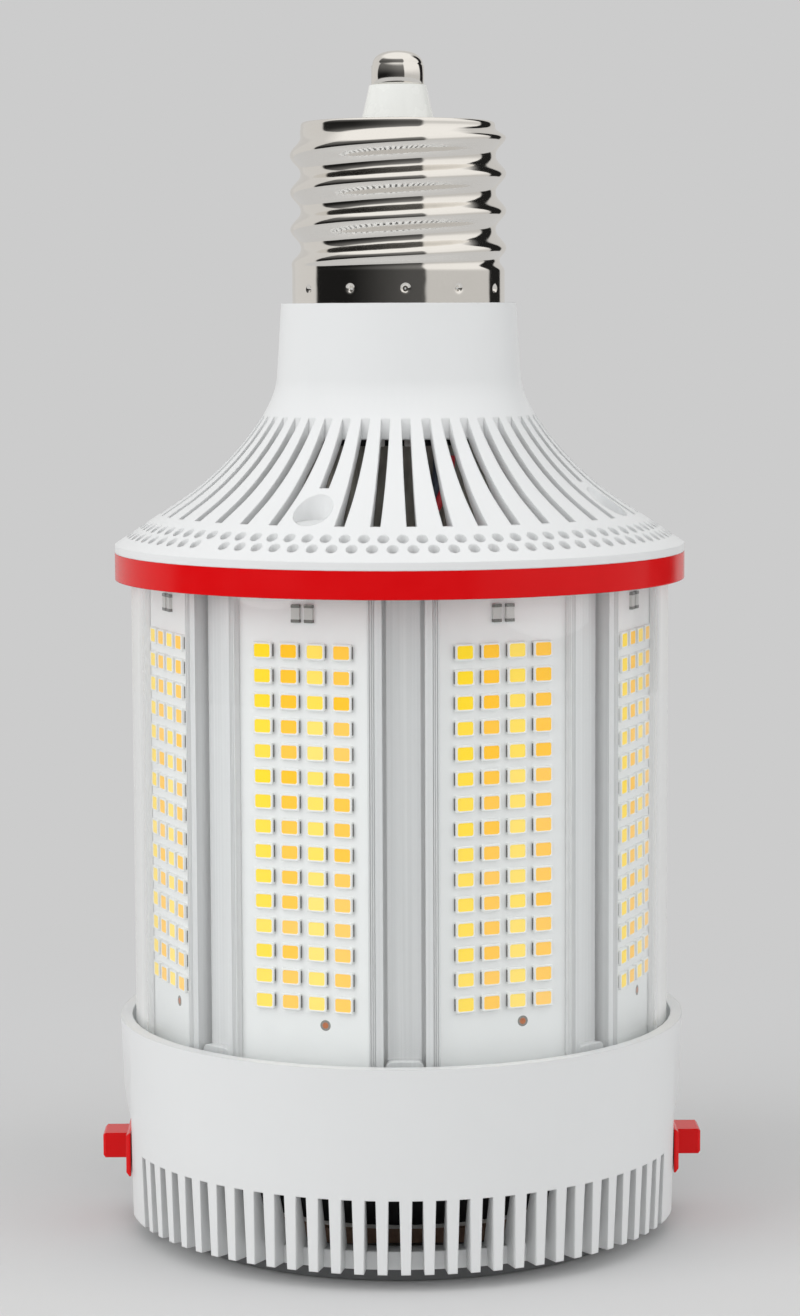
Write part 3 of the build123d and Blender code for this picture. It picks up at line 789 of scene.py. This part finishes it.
def well_floors(sizes):
    """Plugs that fill the screw wells up to a slanted floor: discs that fall towards the outside."""
    corners, fall = 40, 0.13
    recess, crown, crown_share = 0.3 * MM, 0.05 * MM, 0.86
    radius, seat = sizes.well_radius, floor_of("upper_housing") + sizes.well_seat
    height = flank_height(WELL_REACH + radius) - recess - seat + fall * radius
    plug = stacked([
        level_disc(radius, 0, corners),
        level_disc(radius, height, corners, fall),
        level_disc(crown_share * radius, height + crown, corners, fall),
    ])
    return repeated("well_floors", plug, places_round(WELL_COUNT, WELL_REACH, seat, FRONT - pi / SIDES))


class LAMP_OT_upper_housing(bpy.types.Operator):
    """Vented bell with its rows of small blind holes and the floors of its screw wells"""

    bl_idname = "lamp.upper_housing"
    bl_label = "Upper housing"

    def execute(self, context):
        sizes = context.scene.lamp_sizes
        white = moulded_white(context.scene.lamp_colours)
        mesh = NODES["upper_housing"].data.copy()
        mesh.name = "vented_bell"
        mesh.materials.clear()
        mesh.attributes.remove(mesh.attributes["custom_normal"])
        bend_bell(merge(mesh, CAD_MERGE), sizes.neck_turn)
        bell = piece(mesh, [white], ["upper_housing"], CAD_SMOOTH)
        tool = placed("hole_tool", hole_tool(sizes))
        cut = bell.modifiers.new("holes", "BOOLEAN")
        cut.object, cut.operation, cut.solver = tool, "DIFFERENCE", "EXACT"
        context.view_layer.update()
        cut_mesh = bpy.data.meshes.new_from_object(bell.evaluated_get(context.evaluated_depsgraph_get()))
        bell.modifiers.clear()
        bell.data = cut_mesh
        bpy.data.objects.remove(tool)
        shade(cut_mesh, CAD_SMOOTH)
        piece(well_floors(sizes), [white])
        return {"FINISHED"}


# Cap, trim ring and selectors


class LAMP_OT_mouldings(bpy.types.Operator):
    """Bottom cap, trim ring and selector slides"""

    bl_idname = "lamp.mouldings"
    bl_label = "Cap, trim ring and selectors"

    def execute(self, context):
        colours = context.scene.lamp_colours
        dress(moulded_white(colours), "bottom_cap")
        dress(moulded_red(colours), "trim_ring", "power_selector", "colour_selector")
        return {"FINISHED"}


# Tube and heat sink


def post_flutes(sizes):
    """Strips with fine grooves on both flats of each post: an outline carried up the heat sink.

    The outline starts inside the post, and dips by a groove's depth at a few shares of its width.
    """
    dip_shares = np.array([0.14, 0.3, 0.44])
    lift, root = 0.02 * MM, 0.3 * MM
    dips = sizes.flute_outer - dip_shares * (sizes.flute_outer - sizes.flute_inner)
    sides = np.sort(np.concatenate([dips + shift * sizes.flute_width / 2 for shift in (-1, 0, 1)]))
    across = np.concatenate([[sizes.flute_inner] * 2, sides, [sizes.flute_outer] * 2])
    out = np.full(len(across), sizes.flute_depth + lift)
    out[3:-2:3] = lift
    out[[0, -1]] = -root
    strip = np.stack([across, 0 * across, out], axis=-1)
    mirror = strip[::-1] * np.array([-1, 1, 1])
    up = np.array([0, top_of("heat_sink") - floor_of("heat_sink"), 0])
    both = joined(*(stacked([line, line + up], base=True) for line in (strip, mirror)))
    places = places_round(SIDES, reach_of("heat_sink"), floor_of("heat_sink"), FRONT)
    return repeated("post_flutes", both, places)


def tongue_tips(sizes):
    """Bright round-shouldered tips on the cap's tongues: an outline with two arcs, stacked outwards."""
    back, edge, face = -1.95 * MM, -0.4 * MM, -0.25 * MM
    drop, bevel, round_points = 1.5 * MM, 0.15 * MM, 7
    wide, round_off = sizes.tongue_width / 2, sizes.tongue_round
    turn = np.linspace(0, pi / 2, round_points)

    def outline(inset, out):
        radius = round_off - inset
        x = wide - round_off + radius * np.cos(turn)
        y = sizes.tongue_rise - round_off + radius * np.sin(turn)
        right = np.concatenate([[wide - inset], x, -x[::-1], [inset - wide]])
        up = np.concatenate([[-drop], y, y[::-1], [-drop]])
        return np.stack([right, up, out + 0 * up], axis=-1)

    tip = stacked([outline(0, back), outline(0, edge), outline(bevel, face)])
    places = places_round(SIDES, reach_of("heat_sink"), top_of("bottom_cap"), FRONT)
    return repeated("tongue_tips", tip, places)


class LAMP_OT_tube_and_sink(bpy.types.Operator):
    """Clear tube, the extruded heat sink inside it and the tips of the tongues in its posts"""

    bl_idname = "lamp.tube_and_sink"
    bl_label = "Tube and heat sink"

    def execute(self, context):
        sizes, colours = context.scene.lamp_sizes, context.scene.lamp_colours
        dress(clear_polycarbonate(), "clear_tube")
        aluminium = extruded_aluminium(colours)
        dress(aluminium, "heat_sink")
        piece(post_flutes(sizes), [aluminium], smooth_angle=20)
        piece(tongue_tips(sizes), [aluminium])
        return {"FINISHED"}


# LED boards


def led_packages(colour, sizes, shift, paler):
    """Packages in columns: a body with cut corners and an eased edge, a window and two tinned leads.

    Each has a tone, which grows down the board and in the right-hand column, with some chance.
    """
    width, height = sizes.led_width, sizes.led_height
    window_width, window_height = width - 2 * sizes.led_frame, height - 2 * sizes.led_frame
    thick, edge, sink, corner = 0.8 * MM, 0.1 * MM, 0.06 * MM, 0.12 * MM
    lead_height, lead_corner, lead_thick = 0.72 * height, 0.03 * MM, 0.4 * thick
    outlines = [
        plate(width, height, corner, 0),
        plate(width, height, corner, thick - edge),
        plate(width - 2 * edge, height - 2 * edge, corner, thick),
        plate(window_width, window_height, 2 * corner, thick),
        plate(window_width - 2 * sink, window_height - 2 * sink, 2 * corner, thick - sink),
    ]
    lead = chip(2 * sizes.led_lead, lead_height, lead_corner, lead_thick, slot=2)
    package = joined(stacked(outlines, lid_slot=1), moved(lead, -width / 2), moved(lead, width / 2))
    places, _ = board_places()
    low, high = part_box(f"{colour}_leds")
    middle = (low.z + high.z) / 2 - floor_of("led_board_1")
    rows = (np.arange(sizes.led_rows) - (sizes.led_rows - 1) / 2) * sizes.led_row_pitch + middle
    columns = (np.array([-1, 1]) + shift) * sizes.led_column_pitch
    spots = np.array(np.meshgrid(columns, rows)).reshape(2, -1).T
    mesh = repeated(f"{colour}_led_packages", package, places, spots)
    seed, scatter, fall = 11, 0.13, 0.5
    right, down = spots[:, 0] > spots[:, 0].mean(), (rows[-1] - spots[:, 1]) / np.ptp(rows)
    chance = np.random.default_rng(seed).normal(0, scatter, (SIDES, len(spots)))
    tone = np.clip(fall * down + paler * right + chance, 0, 1)
    mark(mesh, "tone", np.repeat(tone.ravel(), len(package[0])))
    return mesh


def chip_resistors(sizes):
    """Two upright chip resistors near the top of each board: a pale body and tinned ends."""
    wide, tall, thick, corner = 1.5 * MM, 3.1 * MM, 0.5 * MM, 0.05 * MM
    end_wide, end_tall, end_thick = 1.07 * wide, 0.55 * MM, 0.55 * MM
    end = chip(end_wide, end_tall, corner, end_thick, slot=1)
    far = (tall - end_tall) / 2
    shape = joined(chip(wide, tall, corner, thick), moved(end, up=-far), moved(end, up=far))
    places, length = board_places()
    up, half = length - sizes.resistor_drop, sizes.resistor_spacing / 2
    return repeated("chip_resistors", shape, places, [(-half, up), (half, up)])


def fiducial_marks(sizes):
    """Round marks: a ring of open mask and a copper dot, each a thin disc on the board."""
    ring_radius, ring_top = 0.95 * MM, 0.02 * MM
    dot_radius, dot_top = 0.55 * MM, 0.035 * MM
    ring = stacked([disc(ring_radius, out) for out in (0, ring_top)])
    dot = stacked([disc(dot_radius, out) for out in (ring_top, dot_top)], slot=1)
    places, _ = board_places()
    spot = (sizes.fiducial_place, sizes.fiducial_rise)
    return repeated("fiducial_marks", joined(ring, dot), places, [spot])


class LAMP_OT_led_boards(bpy.types.Operator):
    """LED boards with their packages, resistors and fiducial marks"""

    bl_idname = "lamp.led_boards"
    bl_label = "LED boards"

    def execute(self, context):
        sizes, colours = context.scene.lamp_sizes, context.scene.lamp_colours
        dress(solder_mask(colours), *[f"led_board_{n + 1}" for n in range(SIDES)])
        body = plain("white_led_package", linear("#F4F4F2"), roughness=0.4, size_mm=0.5, darker=0.96)
        tin = plain("tinned_lead", linear("#76736F"), roughness=0.35, size_mm=0.4, metallic=1.0, darker=0.6)
        for colour, shift, paler in (("cool", -0.5, 0.55), ("warm", 0.5, 0.2)):
            slot, node = f"{colour}_phosphor", f"{colour}_leds"
            glow = phosphor(f"{slot}_in_silicone", tuple(getattr(colours, colour)))
            piece(led_packages(colour, sizes, shift, paler), [body, glow, tin], [node])
        ceramic = plain("thick_film_resistor", linear("#D2D3CF"), roughness=0.4, size_mm=0.4, darker=0.9)
        piece(chip_resistors(sizes), [ceramic, tin])
        opening = plain("mask_opening", linear("#8E8B84"), roughness=0.45, size_mm=0.3)
        copper = plain("bare_copper", linear("#D0763F"), roughness=0.3, size_mm=0.3, metallic=0.6)
        piece(fiducial_marks(sizes), [opening, copper])
        return {"FINISHED"}


# Fan and foot


def fan_liner(sizes):
    """Thin pale ring round the foot of the fan's frame: a liner, whose pale colour also paints the highlight
    on the frame's lip.
    """
    wall = 0.6 * MM
    low, outer = floor_of("fan_frame"), reach_of("fan_frame") + sizes.liner_highlight_proud
    inner, high = outer - wall, low + sizes.liner_highlight_height
    return turned("fan_liner", [(inner, low), (outer, low), (outer, high), (inner, high)], ring=True)


class LAMP_OT_fan_and_foot(bpy.types.Operator):
    """Foot plate, foam gasket, fan and switches"""

    bl_idname = "lamp.fan_and_foot"
    bl_label = "Fan and foot"

    def execute(self, context):
        sizes, colours = context.scene.lamp_sizes, context.scene.lamp_colours
        paint = plain("fine_textured_paint", colours.foot, roughness=0.5, size_mm=0.3)
        foam = plain("open_cell_foam", colours.foam, roughness=0.85, size_mm=0.8, darker=0.55, depth_mm=0.3)
        black = plain("matte_black_pbt", colours.black, roughness=0.45, size_mm=0.5)
        # Pale liner colour that also paints the highlight on the fan frame's lip
        liner_and_highlight = plain("paper_liner", linear("#F2F0EC"), roughness=0.6, size_mm=1.5, darker=0.92)
        dress(paint, "foot_plate")
        dress(foam, "fan_gasket")
        dress(black, "fan_frame", "fan_rotor", "power_switch", "colour_switch")
        piece(fan_liner(sizes), [liner_and_highlight])
        return {"FINISHED"}


# Driver and leads


def driver_front(sizes):
    """Black bands along the driver's upper edges, which paint the shade under the ends of the bell's slots,
    and the two white terminals on its front, whose white also paints a glint.
    """
    shade_band_corner, shade_band_thick = 0.05 * MM, 0.1 * MM
    terminal_width, terminal_corner, terminal_reach = 1.2 * MM, 0.15 * MM, 3.4 * MM
    spots = [(-3.4 * MM, 0), (1.3 * MM, 0)]
    front = -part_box("driver_block")[0].y
    places = places_round(SIDES, front, top_of("driver_block") - sizes.band_height / 2, FRONT)
    # Black band that paints the shade under the ends of the bell's slots
    lid = chip(2 * front * np.tan(pi / SIDES), sizes.band_height, shade_band_corner, shade_band_thick)
    terminal = chip(terminal_width, sizes.band_height, terminal_corner, terminal_reach)
    return repeated("driver_lid", lid, places), repeated("driver_terminals", terminal, places[:1], spots)


def lead_sleeve(node, sizes, swing):
    """Round sleeve: a circle carried along a cubic curve, square to its direction, with closed ends.

    The curve leaves the driver above and right of the CAD lead's start, drops along the driver's face,
    swings left and runs out to the lead's end.
    """
    drop, first_out, second_out = 0.6, 0.1, 0.25
    low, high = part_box(node)
    middle, radius = (low.x + high.x) / 2, (high.x - low.x) / 2
    head = np.array([middle + sizes.lead_sway, high.y, high.z - radius + sizes.lead_lift])
    tail = np.array([middle, low.y + 2 * radius, low.z])
    reach = tail - head
    first = head + np.array([0, first_out * reach[1], drop * reach[2]])
    second = head + np.array([-swing, second_out * reach[1], drop * reach[2]])
    spine_points, corners = 30, 14
    t = np.linspace(0, 1, spine_points)[:, None]
    spine = head * (1 - t) ** 3 + 3 * first * t * (1 - t) ** 2 + 3 * second * t**2 * (1 - t) + tail * t**3
    along = np.gradient(spine, axis=0)
    along /= np.linalg.norm(along, axis=1, keepdims=True)
    right = np.array([1.0, 0, 0]) - along * along[:, :1]
    right /= np.linalg.norm(right, axis=1, keepdims=True)
    up = np.cross(along, right)
    spine, right, up = (np.concatenate([a[:1], a, a[-1:]]) for a in (spine, right, up))
    girth = np.full((len(spine), 1), radius)
    girth[[0, -1]] = 0
    turn = turns(corners)[:, None, None]
    points = spine[None] + girth[None] * (np.cos(turn) * right[None] + np.sin(turn) * up[None])
    return merge(skin(node + "_sleeve", points))


class LAMP_OT_driver(bpy.types.Operator):
    """Driver block behind the bell's slots, its black band of painted shade, its terminals with a painted
    glint, and its two leads
    """

    bl_idname = "lamp.driver"
    bl_label = "Driver and leads"

    def execute(self, context):
        sizes, colours = context.scene.lamp_sizes, context.scene.lamp_colours
        dress(potting(colours), "driver_block")
        # Matte black that paints the shade along the driver's top
        black = plain("matte_black_lid", colours.black, roughness=0.6, size_mm=0.5)
        # White whose brightness also paints the glint on the terminals
        white = plain("white_terminal_block", linear("#F6F6F4"), roughness=0.4, size_mm=0.6, darker=0.92)
        shade_bands, terminals = driver_front(sizes)
        piece(shade_bands, [black])
        piece(terminals, [white])
        leads = (("red", sizes.red_swing, "#EE3A46"), ("dark", sizes.dark_swing, "#4C5668"))
        for colour, swing, code in leads:
            node = f"{colour}_lead"
            pvc = plain(f"pvc_{colour}_sleeve", linear(code), roughness=0.35, size_mm=0.6)
            piece(lead_sleeve(node, sizes, swing), [pvc], [node], smooth_angle=40)
        return {"FINISHED"}


# Studio


def seen(tree):
    """1 for rays that show the background: from the camera, in gloss and through clear pieces."""
    path = put(tree, "ShaderNodeLightPath").outputs
    either = {"operation": "MAXIMUM"}
    direct = put(tree, "ShaderNodeMath", either, i0=path["Is Camera Ray"], i1=path["Is Glossy Ray"])
    return put(tree, "ShaderNodeMath", either, i0=direct, i1=path["Is Transmission Ray"])


def studio_fill(backdrop):
    """World with an even soft fill, and the backdrop's grey wherever the background shows."""
    world = bpy.data.worlds.new("studio_fill")
    world.use_nodes = True
    tree = world.node_tree
    tree.nodes.clear()
    fill = put(tree, "ShaderNodeBackground", {"Color": linear("#F7F8F9"), "Strength": 0.62})
    shown = put(tree, "ShaderNodeBackground", {"Color": backdrop, "Strength": 1.0})
    light = put(tree, "ShaderNodeMixShader", Fac=seen(tree), i1=fill, i2=shown)
    put(tree, "ShaderNodeOutputWorld", Surface=light)
    return world


def pale_floor(backdrop):
    """Flat disc under the foot: it takes the lamp's shadow near by and fades to the backdrop further out."""
    steps, rings = 64, np.array([0.0001, 0.2, 0.6, 1.5, 6.0])
    gap, fade_start, fade_end = 0.2 * MM, 0.1, 0.32
    material, tree = finish("pale_painted_floor")
    coords = put(tree, "ShaderNodeTexCoord").outputs["Object"]
    far = put(tree, "ShaderNodeVectorMath", {"operation": "LENGTH"}, i0=coords).outputs["Value"]
    ends = {"From Min": fade_start, "From Max": fade_end}
    fade = put(tree, "ShaderNodeMapRange", ends, Value=far)
    share = put(tree, "ShaderNodeMath", {"operation": "MULTIPLY"}, i0=seen(tree), i1=fade)
    matt = put(tree, "ShaderNodeBsdfDiffuse", {"Color": linear("#D4D4D4")})
    shown = put(tree, "ShaderNodeEmission", {"Color": backdrop, "Strength": 1.0})
    paint = put(tree, "ShaderNodeMixShader", Fac=share, i1=matt, i2=shown)
    put(tree, "ShaderNodeOutputMaterial", Surface=paint)
    mesh = skin("pale_floor", polar(rings[None], turns(steps)[:, None], -gap)[::-1])
    mesh.materials.append(material)
    placed("pale_floor", mesh)


def towards(turn, lift):
    """Direction from the lamp at a turn right of its front and a lift above the floor, in degrees."""
    a, b = np.radians(turn), np.radians(lift)
    parts = np.broadcast_arrays(np.sin(a) * np.cos(b), -np.cos(a) * np.cos(b), np.sin(b))
    return np.stack(parts, axis=-1)


def soft_boxes():
    """Three large soft boxes: right of the camera, left and above.

    Each has a turn and a lift in degrees, a distance, width and height in metres, and a power in watts.
    """
    middle = Vector((0, 0, 0.11))
    boxes = (
        ("right_softbox", 66, 18, 1.1, 0.9, 1.3, 4.0),
        ("left_softbox", -58, 22, 1.2, 0.9, 1.2, 6.5),
        ("top_softbox", 0, 74, 1.1, 1.2, 0.9, 3.2),
    )
    for name, turn, lift, distance, width, height, power in boxes:
        data = bpy.data.lights.new(name, "AREA")
        data.shape, data.size, data.size_y, data.energy = "RECTANGLE", width, height, power
        lamp = placed(name, data)
        lamp.location = middle + distance * Vector(towards(turn, lift))
        lamp.rotation_euler = (middle - lamp.location).to_track_quat("-Z", "Y").to_euler()
        lamp.visible_camera = lamp.visible_glossy = False


def studio_dome():
    """Inside of a sphere that only shows in gloss, bright as a function of turn and lift in degrees.

    From the front round to the right stand the unlit room by the camera, a lit panel, a dark gap, the
    backdrop and a paler panel on the left. The room and the panel brighten upwards to a white ceiling,
    and low down all of them fade to the floor's grey.
    """
    radius, turn_steps, lift_steps = 0.9, 240, 80
    turn = np.linspace(-180, 180, turn_steps, endpoint=False)[:, None]
    lift = np.linspace(-24, 89.5, lift_steps)[None]

    def between(left, right, soft):
        return ease(turn, left - soft, left + soft) * (1 - ease(turn, right - soft, right + soft))

    backdrop, left_panel, gap, ceiling, floor = 0.6, 0.66, 0.015, 0.95, 0.62
    # The dark room gets a little lighter towards the right and upwards, and the lit panel upwards
    room = 0.012 + 0.07 * ease(turn, -60, 20) + 0.14 * ease(lift, 14, 55)
    panel = 0.58 + 0.34 * ease(lift, 8, 40)
    light = backdrop + 0 * turn * lift
    for share, level in (
        (between(-150, -99, soft=4), left_panel),
        (between(-99, 29, soft=2), room),
        (between(29, 114, soft=2), panel),
        (between(114, 142, soft=2), gap),
        (ease(lift, 50, 64), ceiling),
        (1 - ease(lift, -2.5, 3.5), floor),
    ):
        light = light * (1 - share) + level * share
    mesh = skin("studio_dome", radius * towards(turn, lift))
    mark(mesh, "light", light)
    material, tree = finish("studio_panels")
    strength = put(tree, "ShaderNodeAttribute", {"attribute_name": "light"}).outputs["Fac"]
    glow = put(tree, "ShaderNodeEmission", {"Color": linear("#FFFDFA")}, Strength=strength)
    put(tree, "ShaderNodeOutputMaterial", Surface=glow)
    mesh.materials.append(material)
    dome = placed("studio_dome", mesh)
    dome.visible_camera = dome.visible_diffuse = dome.visible_shadow = dome.visible_transmission = False


def photo_camera():
    """Camera of the photograph: as high as the neck's top, a little left of the front, tilted down."""
    data = bpy.data.cameras.new("camera")
    data.sensor_fit, data.sensor_height, data.lens = "VERTICAL", 36.0, 92.06
    camera = placed("camera", data)
    turn, tilt, roll = radians(-0.7), radians(5.886), radians(-0.23)
    distance, height = 615.4 * MM, 168.05 * MM
    camera.location = (distance * sin(turn), -distance * cos(turn), height)
    level = Euler((pi / 2 - tilt, 0, turn)).to_quaternion()
    camera.rotation_euler = (level @ Quaternion((0, 0, 1), roll)).to_euler()
    return camera


class LAMP_OT_stage(bpy.types.Operator):
    """Background, pale floor, soft boxes, a dome of panels and the camera"""

    bl_idname = "lamp.stage"
    bl_label = "Studio"

    def execute(self, context):
        scene = context.scene
        scene.view_settings.view_transform = "Standard"
        backdrop = tuple(scene.lamp_colours.backdrop)
        scene.world = studio_fill(backdrop)
        pale_floor(backdrop)
        soft_boxes()
        studio_dome()
        scene.camera = photo_camera()
        return {"FINISHED"}


# Sidebar and registration


class LAMP_PT_panel(bpy.types.Panel):
    """Sizes, colours and the steps that build the lamp"""

    bl_idname = "LAMP_PT_panel"
    bl_label = "LED lamp"
    bl_space_type = "VIEW_3D"
    bl_region_type = "UI"
    bl_category = "Lamp"

    def draw(self, context):
        for group in (context.scene.lamp_sizes, context.scene.lamp_colours):
            box = self.layout.box()
            for name in group.__annotations__:
                box.prop(group, name)
        for operator in OPERATORS:
            self.layout.operator(operator.bl_idname)


OPERATORS = (
    LAMP_OT_screw_base,
    LAMP_OT_upper_housing,
    LAMP_OT_mouldings,
    LAMP_OT_tube_and_sink,
    LAMP_OT_led_boards,
    LAMP_OT_fan_and_foot,
    LAMP_OT_driver,
    LAMP_OT_stage,
)
CLASSES = (LampSizes, LampColours, *OPERATORS, LAMP_PT_panel)


def register():
    for cls in CLASSES:
        bpy.utils.register_class(cls)
    bpy.types.Scene.lamp_sizes = PointerProperty(type=LampSizes)
    bpy.types.Scene.lamp_colours = PointerProperty(type=LampColours)


def unregister():
    del bpy.types.Scene.lamp_colours
    del bpy.types.Scene.lamp_sizes
    for cls in reversed(CLASSES):
        bpy.utils.unregister_class(cls)


def main():
    """Build every piece in order."""
    register()
    for operator in OPERATORS:
        group, name = operator.bl_idname.split(".")
        getattr(getattr(bpy.ops, group), name)()


if __name__ == "__main__":
    main()
